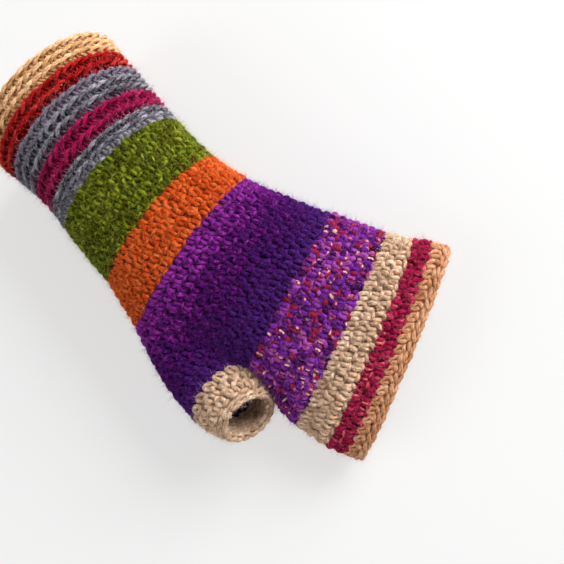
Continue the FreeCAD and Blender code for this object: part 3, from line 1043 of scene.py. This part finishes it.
def make_upper_grey():
    """The upper grey band: its ridged rounds and the plain one that ends the ridges."""
    start = STARTS["upper_grey"]
    middle = start + UPPER_RIDGES
    ridges, first = ROUNDS["upper_grey"] - 1, FIRST_ROUND["upper_grey"]
    strands = Strands()
    add_plain(strands, even_rounds(tube, middle, STARTS["green"], 1, STITCHES, tube_share), mild)
    add_ridges(strands, even_rounds(tube, start, middle, ridges, STITCHES, tube_share, first), mild)
    finish_piece(strands, "upper_grey", "grey_wool", "cuff_upper_grey_band", on_cuff)


def gusset_share(share):
    """The gusset patch's share of its length, which runs a little past both ends of the band."""
    return (share + GUSSET_MARGIN) / (1 + 2 * GUSSET_MARGIN)


def make_gusset():
    """The purple rounds, with more stitches each round over the thumb's gusset."""
    rounds = []
    turns = [0.0, HAND_COLUMNS / COLUMNS, 1.0]
    for k in range(GUSSET_ROUNDS):
        low = gusset_share(k / GUSSET_ROUNDS)
        high = gusset_share((k + 1) / GUSSET_ROUNDS)
        over_thumb = round(GUSSET_FIRST + (GUSSET_LAST - GUSSET_FIRST) * k / (GUSSET_ROUNDS - 1))
        rounds.append(Round(gusset, low, high, [HAND_STITCHES, over_thumb], turns, k))
    half = (GUSSET_ROUNDS + 1) // 2
    for name, part in in_halves("violet", rounds[:half]) + in_halves("indigo", rounds[half:]):
        strands = Strands()
        add_plain(strands, part, fading)
        finish_piece(strands, name, "purple_wool", "gusset_purple_band", on_hand)


def make_finger_edge():
    """The last plain round and the braided rim."""
    strands = Strands()
    start = STARTS["edge"]
    half = start + BAND_LENGTHS["edge"] / 2
    add_looped(strands, even_rounds(tube, start, half, 1, FINGER_STITCHES, tube_share), mild)
    rim = even_rounds(tube, half, TOTAL_LENGTH, 1, FINGER_STITCHES, tube_share, 1)[0]
    add_braid(strands, rim, mild)
    finish_piece(strands, "finger_edge", "peach_wool", "finger_edge_band", on_hand)


def ring_share(distance):
    """The thumb patch's share of its length, which runs a little past both ends of the ring."""
    return (distance + RING_MARGIN) / (THUMB_LENGTHS[-1] + 2 * RING_MARGIN)


def make_thumb():
    """The beige thumb ring and its braided rim."""
    base, bound, end = THUMB_LENGTHS
    strands = Strands()
    ring = even_rounds(thumb, base, bound, THUMB_ROUNDS, THUMB_STITCHES, ring_share)
    add_looped(strands, ring, mild)
    finish_piece(strands, "thumb", "beige_wool", "thumb_beige_band", over_thumb_base)
    strands = Strands()
    rim = even_rounds(thumb, bound, end, 1, THUMB_STITCHES, ring_share, THUMB_ROUNDS)[0]
    add_braid(strands, rim, mild)
    finish_piece(strands, "thumb_rim", "beige_wool", "thumb_rim_round", on_thumb)


make_tube_bands(CUFF_PLANS)
make_upper_grey()
make_tube_bands(HAND_PLANS)
make_gusset()
make_finger_edge()
make_thumb()


# -------- floor, light and camera


FLOOR_GAP = 0.4 * MM  # below the mitt
FLOOR_SIZE = 30.0
KEY_PLACE, KEY_SIZE, KEY_WATTS = (0.42, 0.95, 0.58), 0.8, 23.0
FILL_PLACE, FILL_SIZE, FILL_WATTS = (-0.7, -0.8, 0.8), 1.0, 6.5
LENS, SENSOR = 59.6, 36.0  # in millimetres
CAMERA_PLACE = Vector((0.13567, 0.0163, 0.37346))
CAMERA_RIGHT = Vector((0.8909, 0.3718, -0.2608))
CAMERA_WAY = Vector((-0.2626, -0.0467, -0.9638))


def make_floor(height):
    """A plain pale floor under the mitt."""
    bpy.ops.mesh.primitive_plane_add(size=FLOOR_SIZE, location=(0.0, 0.0, height))
    floor = bpy.context.object
    floor.name = "floor"
    material = bpy.data.materials.new("pale_floor")
    material.use_nodes = True
    set_inputs(material.node_tree.nodes["Principled BSDF"], {
        "Base Color": (0.32, 0.32, 0.32, 1.0),
        "Emission Color": (1.0, 0.99, 0.98, 1.0),
        "Emission Strength": 0.552,
        "Roughness": 0.8,
    })
    floor.data.materials.append(material)


def make_light(name, place, size, power):
    """A soft square lamp that faces the mitt."""
    data = bpy.data.lights.new(name, "AREA")
    data.size = size
    data.energy = power
    lamp = shown_object(name, data)
    lamp.location = place
    lamp.rotation_euler = (-Vector(place)).to_track_quat("-Z", "Y").to_euler()


def make_camera():
    """The camera, high over the back of the hand, with the fingers to the lower right."""
    data = bpy.data.cameras.new("camera")
    data.lens = LENS
    data.sensor_width = SENSOR
    data.clip_start = 0.01
    camera = shown_object("camera", data)
    forward = CAMERA_WAY.normalized()
    above = CAMERA_RIGHT.cross(forward).normalized()
    right = forward.cross(above)
    turn = Matrix((right, above, -forward)).transposed().to_4x4()
    camera.matrix_world = Matrix.Translation(CAMERA_PLACE) @ turn
    bpy.context.scene.camera = camera


def make_world():
    """Even pale light from all round, brighter near the horizon, like a studio's backdrop."""
    world = bpy.data.worlds.new("studio")
    world.use_nodes = True
    nodes, links = world.node_tree.nodes, world.node_tree.links
    background = nodes["Background"]
    background.inputs["Color"].default_value = (0.97, 0.98, 1.0, 1.0)
    direction = nodes.new("ShaderNodeTexCoord")
    parts = nodes.new("ShaderNodeSeparateXYZ")
    strength = nodes.new("ShaderNodeMapRange")
    set_inputs(strength, {"From Max": 0.4, "To Min": 0.84, "To Max": 0.33})
    links.new(direction.outputs["Generated"], parts.inputs["Vector"])
    links.new(parts.outputs["Z"], strength.inputs["Value"])
    links.new(strength.outputs["Result"], background.inputs["Strength"])
    bpy.context.scene.world = world


make_camera()
make_world()
make_light("key_light", KEY_PLACE, KEY_SIZE, KEY_WATTS)
make_light("fill_light", FILL_PLACE, FILL_SIZE, FILL_WATTS)
make_floor(cad_low.z - FLOOR_GAP)
bpy.context.scene.view_settings.view_transform = "Standard"
